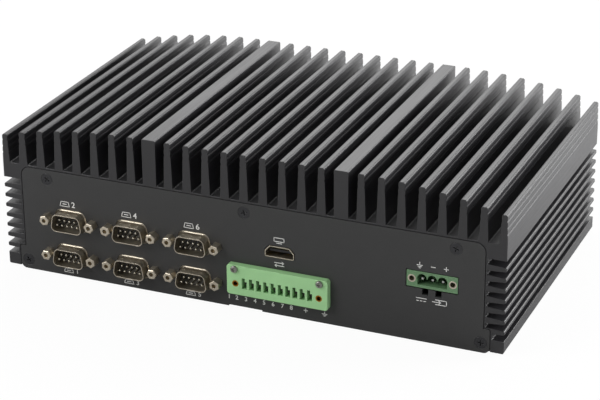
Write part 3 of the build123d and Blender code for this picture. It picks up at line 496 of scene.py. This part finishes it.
@dataclass
class SerialPrint(PanelPrint):
    """Marks of the six serial ports: a D outline round a pin row, and the port's number.

    Attributes:
        columns: middles of the upper and the lower mark in each column of ports.
        upper_z: height of the upper marks' middles.
        lower_z: height of the lower marks' middles.
        upper_height: height of the upper digits.
        lower_height: height of the lower digits, which have less room over the panel's edge.
        outline_left: how far the outline stands to the left of a mark's middle.
        outline_half: half the outline's width at its foot.
        outline_top: share of that width at its top.
        outline_rise: half the outline's height as a share of the digits'.
        pin_row: width and height of the bar that stands for the pins.
        number_right: how far the number stands to the right of a mark's middle.
    """

    name: str = "serial_print"
    columns: tuple[tuple[float, float], ...] = ((-96.2, -95.8), (-61.8, -61.7), (-27.7, -27.6))
    upper_z: float = 39.5
    lower_z: float = 2.9
    upper_height: float = 2.9
    lower_height: float = 2.4
    outline_left: float = 1.9
    outline_half: float = 2.6
    outline_top: float = 0.78
    outline_rise: float = 0.42
    pin_row: tuple[float, float] = (2.4, 0.42)
    number_right: float = 2.9

    def port_mark(self, number: int, x: float, z: float, height: float) -> None:
        """Print one port's mark.

        Args:
            number: the port's number.
            x: middle of the mark.
            z: height of its middle.
            height: height of its digits.
        """
        left = x - self.outline_left
        rise = height * self.outline_rise
        top = self.outline_half * self.outline_top
        self.path((left - self.outline_half, z - rise), (left - top, z + rise), (left + top, z + rise),
                  (left + self.outline_half, z - rise), close=True)
        self.bar(left, z, *self.pin_row)
        self.number(str(number), x + self.number_right, z, height)

    def draw(self) -> None:
        """Print the marks column by column, the upper port first."""
        for column, (upper_x, lower_x) in enumerate(self.columns):
            self.port_mark(2 * column + 2, upper_x, self.upper_z, self.upper_height)
            self.port_mark(2 * column + 1, lower_x, self.lower_z, self.lower_height)


@dataclass
class SignalPrint(PanelPrint):
    """Marks over and under the video socket and under the signal header.

    Attributes:
        socket_x: middle of the video socket's marks.
        screen_z: height of the screen sign.
        screen_half: half the screen's width.
        screen_low: how far the screen reaches under that height.
        screen_high: how far it reaches over it.
        foot_half: half the width of its foot.
        foot_drop: how far the foot lies under that height.
        arrows_z: height of the two arrows' middle.
        arrow_half: half an arrow's length.
        arrow_rise: how far each arrow lies from the middle.
        head: length and half width of an arrow's head.
        pole_xs: places of the poles' numbers.
        poles_z: height of the marks under the header.
        pole_height: height of the poles' digits.
        plus_x: place of the plus sign.
        plus_half: reach of its arms.
        ground_x: place of the ground sign.
        ground_height: its height.
    """

    name: str = "signal_print"
    socket_x: float = 18.3
    screen_z: float = 39.7
    screen_half: float = 2.6
    screen_low: float = 0.5
    screen_high: float = 1.4
    foot_half: float = 1.3
    foot_drop: float = 1.4
    arrows_z: float = 27.2
    arrow_half: float = 2.4
    arrow_rise: float = 0.75
    head: tuple[float, float] = (0.9, 0.675)
    pole_xs: tuple[float, ...] = (-8.6, -4.5, 0.4, 5.2, 10.0, 14.8, 19.7, 24.4)
    poles_z: float = 5.03
    pole_height: float = 2.2
    plus_x: float = 32.0
    plus_half: float = 0.9
    ground_x: float = 41.8
    ground_height: float = 2.3

    def screen(self) -> None:
        """Print a screen on its foot."""
        left, right = self.socket_x - self.screen_half, self.socket_x + self.screen_half
        low, high = self.screen_z - self.screen_low, self.screen_z + self.screen_high
        self.path((left, low), (left, high), (right, high), (right, low), close=True)
        foot_z = self.screen_z - self.foot_drop
        self.line((self.socket_x - self.foot_half, foot_z), (self.socket_x + self.foot_half, foot_z))

    def arrows(self) -> None:
        """Print two arrows, one each way."""
        head_length, head_half = self.head
        for side in (-1, 1):
            z = self.arrows_z + side * self.arrow_rise
            tip = (self.socket_x + side * self.arrow_half, z)
            self.line((self.socket_x - self.arrow_half, z), (self.socket_x + self.arrow_half, z))
            for slope in (-1, 1):
                self.line(tip, (tip[0] - side * head_length, z + slope * head_half))

    def draw(self) -> None:
        """Print the socket's signs, then the row under the header from the left."""
        self.screen()
        self.arrows()
        for number, x in enumerate(self.pole_xs, start=1):
            self.number(str(number), x, self.poles_z, self.pole_height)
        self.plus(self.plus_x, self.poles_z, self.plus_half)
        self.ground(self.ground_x, self.poles_z, self.ground_height)


@dataclass
class PowerPrint(PanelPrint):
    """Marks over and under the DC header.

    Attributes:
        upper_z: height of the marks over the header.
        ground_x: place of the ground sign.
        ground_height: its height.
        minus_x: place of the minus sign.
        plus_x: place of the plus sign.
        sign_half: reach of the minus sign and of the plus sign's arms.
        lower_z: height of the marks under the header.
        direct_xs: ends of the direct current sign's upper line.
        direct_rise: how far its two lines lie from their middle.
        dash_x: start of its first dash.
        dash_length: length of a dash.
        dash_pitch: from one dash to the next.
        dash_count: number of dashes.
        inlet_xs: open and closed end of the inlet sign's frame.
        inlet_rise: half the frame's height.
        arrow_xs: tail, head's back and tip of the arrow that enters it.
        arrow_rise: half the width of the arrow's head.
    """

    name: str = "power_print"
    upper_z: float = 39.9
    ground_x: float = 89.8
    ground_height: float = 2.9
    minus_x: float = 96.5
    plus_x: float = 102.9
    sign_half: float = 1.0
    lower_z: float = 22.1
    direct_xs: tuple[float, float] = (88.4, 93.4)
    direct_rise: float = 0.7
    dash_x: float = 88.6
    dash_length: float = 0.9
    dash_pitch: float = 1.8
    dash_count: int = 3
    inlet_xs: tuple[float, float] = (98.0, 103.4)
    inlet_rise: float = 1.2
    arrow_xs: tuple[float, float, float] = (96.4, 99.6, 100.6)
    arrow_rise: float = 0.8

    def direct_current(self) -> None:
        """Print the sign for direct current, a line over dashes."""
        low, high = self.lower_z - self.direct_rise, self.lower_z + self.direct_rise
        self.line((self.direct_xs[0], high), (self.direct_xs[1], high))
        for step in range(self.dash_count):
            start = self.dash_x + step * self.dash_pitch
            self.line((start, low), (start + self.dash_length, low))

    def inlet(self) -> None:
        """Print an arrow that enters an open frame."""
        low, high = self.lower_z - self.inlet_rise, self.lower_z + self.inlet_rise
        mouth, end = self.inlet_xs
        self.path((mouth, high), (end, high), (end, low), (mouth, low))
        tail, back, tip = self.arrow_xs
        self.line((tail, self.lower_z), (tip, self.lower_z))
        self.path((back, self.lower_z + self.arrow_rise), (tip, self.lower_z),
                  (back, self.lower_z - self.arrow_rise))

    def draw(self) -> None:
        """Print the marks over the header, then those under it."""
        self.ground(self.ground_x, self.upper_z, self.ground_height)
        self.line((self.minus_x - self.sign_half, self.upper_z),
                  (self.minus_x + self.sign_half, self.upper_z))
        self.plus(self.plus_x, self.upper_z, self.sign_half)
        self.direct_current()
        self.inlet()


@dataclass(frozen=True)
class Viewpoint:
    """Where the photograph was taken from, and through what lens.

    Attributes:
        target: a point of the case.
        azimuth: degrees to the right of straight ahead.
        elevation: degrees above the horizon.
        roll: degrees.
        focal: focal length in pixels of the photograph's frame.
        frame_width: the frame's width in pixels.
        sensor_width: width that stands for the frame in the camera.
        offset: the target's place in the frame, in pixels from its middle.
        distance: from the target along the line of sight.
        clip: nearest and farthest thing seen, in metres.
    """

    target: tuple[float, float, float] = (0.0, 93.0 + FRONT_Y, 49.2)
    azimuth: float = 22.981
    elevation: float = 23.947
    roll: float = -0.3666
    focal: float = 2092.61
    frame_width: float = 600.0
    sensor_width: float = 36.0
    offset: tuple[float, float] = (17.6305, 51.9186)
    distance: float = 1082.503
    clip: tuple[float, float] = (0.05, 20.0)

    def build(self) -> bpy.types.Object:
        """Make the camera.

        Returns:
            The scene's camera.
        """
        turn, rise, roll = (math.radians(a) for a in (self.azimuth, self.elevation, self.roll))
        back = Vector((math.sin(turn) * math.cos(rise), -math.cos(turn) * math.cos(rise), math.sin(rise)))
        right = (-back).cross(Vector((0, 0, 1))).normalized()
        up = right.cross(-back)
        tilt = math.cos(roll), math.sin(roll)
        right, up = tilt[0] * right + tilt[1] * up, tilt[0] * up - tilt[1] * right
        shift = self.distance / self.focal
        place = (Vector(self.target) - self.offset[0] * shift * right - self.offset[1] * shift * up
                 + self.distance * back)
        data = bpy.data.cameras.new("camera")
        data.sensor_width = self.sensor_width
        data.lens = self.focal / self.frame_width * data.sensor_width
        data.clip_start, data.clip_end = self.clip
        camera = bpy.data.objects.new("camera", data)
        rotation = Matrix((right, up, back)).transposed().to_4x4()
        camera.matrix_world = Matrix.Translation(place * MM) @ rotation
        bpy.context.scene.collection.objects.link(camera)
        bpy.context.scene.camera = camera
        return camera


@dataclass(frozen=True)
class Softbox:
    """One soft square lamp.

    Attributes:
        name: the lamp's name.
        place: where it hangs, in metres.
        size: its side in metres.
        power: watts.
    """

    name: str
    place: tuple[float, float, float]
    size: float
    power: float

    def build(self, target: Sequence[float]) -> bpy.types.Object:
        """Make the lamp.

        Args:
            target: where it points, in metres.

        Returns:
            The lamp.
        """
        data = bpy.data.lights.new(self.name, "AREA")
        data.shape, data.size, data.energy = "SQUARE", self.size, self.power
        lamp = bpy.data.objects.new(self.name, data)
        aim = Vector(target) - Vector(self.place)
        lamp.matrix_world = Matrix.Translation(self.place) @ aim.to_track_quat("-Z", "Y").to_matrix().to_4x4()
        bpy.context.scene.collection.objects.link(lamp)
        return lamp


@dataclass(frozen=True)
class Studio:
    """White floor, a soft surround and three soft lamps.

    Attributes:
        floor_size: side of the floor in metres.
        floor_colour: sRGB hex value of the paper.
        floor_roughness: its roughness.
        camera_share: how much of the floor the camera sees as plain white.
        mirror_share: how much of the floor's mirror image is a painted reflection, a glow dark before the
            case and bright behind it.
        mirror_ends: metres before and behind the case's middle between which the painted reflection runs.
        mirror_tones: its strength at those two ends.
        front: strength of the surround before the case.
        back: strength of the surround behind it.
        lamp_target: where the lamps point, in metres.
        lamps: the lamps.
    """

    floor_size: float = 6.0
    floor_colour: str = "#f4f4f4"
    floor_roughness: float = 0.9
    camera_share: float = 0.95
    mirror_share: float = 0.55
    mirror_ends: tuple[float, float] = (-0.1, 0.25)
    mirror_tones: tuple[float, float] = (0.15, 1.2)
    front: float = 0.1
    back: float = 1.15
    lamp_target: tuple[float, float, float] = (0.0, 0.0, 0.04)
    lamps: tuple[Softbox, ...] = (
        Softbox("back_softbox", (-0.35, 1.25, 0.95), 0.9, 5.0),
        Softbox("right_softbox", (1.3, 0.9, 0.5), 0.8, 30.0),
        Softbox("front_left_softbox", (-0.7, -0.7, 0.7), 0.6, 6.0),
    )

    def paper(self) -> bpy.types.Material:
        """Make the floor's white paper: plain white to the camera, and in mirrors a painted reflection, dark
        with painted shade before the case and bright behind it.

        Returns:
            The paper's material.
        """
        material = bpy.data.materials.new("white_paper_sweep")
        material.use_nodes = True
        tree = material.node_tree
        shader = tree.nodes["Principled BSDF"]
        shader.inputs["Base Color"].default_value = linear(self.floor_colour)
        shader.inputs["Roughness"].default_value = self.floor_roughness
        path = add_node(tree, "ShaderNodeLightPath")
        place = add_node(tree, "ShaderNodeTexCoord").outputs["Object"]
        depth = add_node(tree, "ShaderNodeSeparateXYZ", {0: place}).outputs[1]
        # Painted reflection: in mirrors the paper glows dark before the case, a painted shade, and bright
        # behind it.
        behind = add_node(tree, "ShaderNodeMapRange", {"Value": depth}, {
            "From Min": self.mirror_ends[0], "From Max": self.mirror_ends[1],
            "To Min": self.mirror_tones[0], "To Max": self.mirror_tones[1]}).outputs[0]
        strength = add_node(tree, "ShaderNodeMix", {0: path.outputs["Is Glossy Ray"], 3: behind}, {2: 1.0},
                            data_type="FLOAT").outputs[0]
        glow = add_node(tree, "ShaderNodeEmission", {"Strength": strength})
        mirrored = add_node(tree, "ShaderNodeMath", {0: path.outputs["Is Glossy Ray"]},
                            {1: self.mirror_share}, operation="MULTIPLY")
        share = add_node(tree, "ShaderNodeMath", {0: path.outputs["Is Camera Ray"], 2: mirrored.outputs[0]},
                         {1: self.camera_share}, operation="MULTIPLY_ADD")
        mix = add_node(tree, "ShaderNodeMixShader",
                       {0: share.outputs[0], 1: shader.outputs[0], 2: glow.outputs[0]})
        tree.links.new(mix.outputs[0], tree.nodes["Material Output"].inputs["Surface"])
        return material

    def floor(self) -> bpy.types.Object:
        """Make the pale floor.

        Returns:
            The floor.
        """
        mesh = bmesh.new()
        bmesh.ops.create_grid(mesh, x_segments=1, y_segments=1, size=self.floor_size / 2)
        data = bpy.data.meshes.new("floor")
        mesh.to_mesh(data)
        mesh.free()
        piece = bpy.data.objects.new("floor", data)
        bpy.context.scene.collection.objects.link(piece)
        data.materials.append(self.paper())
        return piece

    def surround(self) -> None:
        """Make the surround: soft light for the object, plain white for the camera."""
        world = bpy.data.worlds.new("surround")
        world.use_nodes = True
        tree = world.node_tree
        tree.nodes.clear()
        path = add_node(tree, "ShaderNodeLightPath")
        direction = add_node(tree, "ShaderNodeTexCoord").outputs["Generated"]
        depth = add_node(tree, "ShaderNodeSeparateXYZ", {0: direction}).outputs[1]
        around = add_node(tree, "ShaderNodeMapRange", {"Value": depth},
                          {"From Min": -1.0, "From Max": 1.0, "To Min": self.front, "To Max": self.back})
        strength = add_node(tree, "ShaderNodeMix", {0: path.outputs["Is Camera Ray"], 2: around.outputs[0]},
                            {3: 1.0}, data_type="FLOAT")
        light = add_node(tree, "ShaderNodeBackground", {"Strength": strength.outputs[0]},
                         {"Color": (1.0, 1.0, 1.0, 1.0)})
        out = add_node(tree, "ShaderNodeOutputWorld")
        tree.links.new(light.outputs[0], out.inputs["Surface"])
        bpy.context.scene.world = world

    def build(self) -> None:
        """Make the whole studio."""
        self.floor()
        self.surround()
        for lamp in self.lamps:
            lamp.build(self.lamp_target)


def main() -> None:
    """Build the looks around the frame, in order."""
    logging.basicConfig(level=logging.INFO, format="%(message)s")
    bpy.context.scene.view_settings.view_transform = "Standard"
    Viewpoint().build()
    Studio().build()
    Dressing(FINISHES).apply(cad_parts)
    for marks in (SerialPrint(), SignalPrint(), PowerPrint()):
        marks.build()


if __name__ == "__main__":
    main()
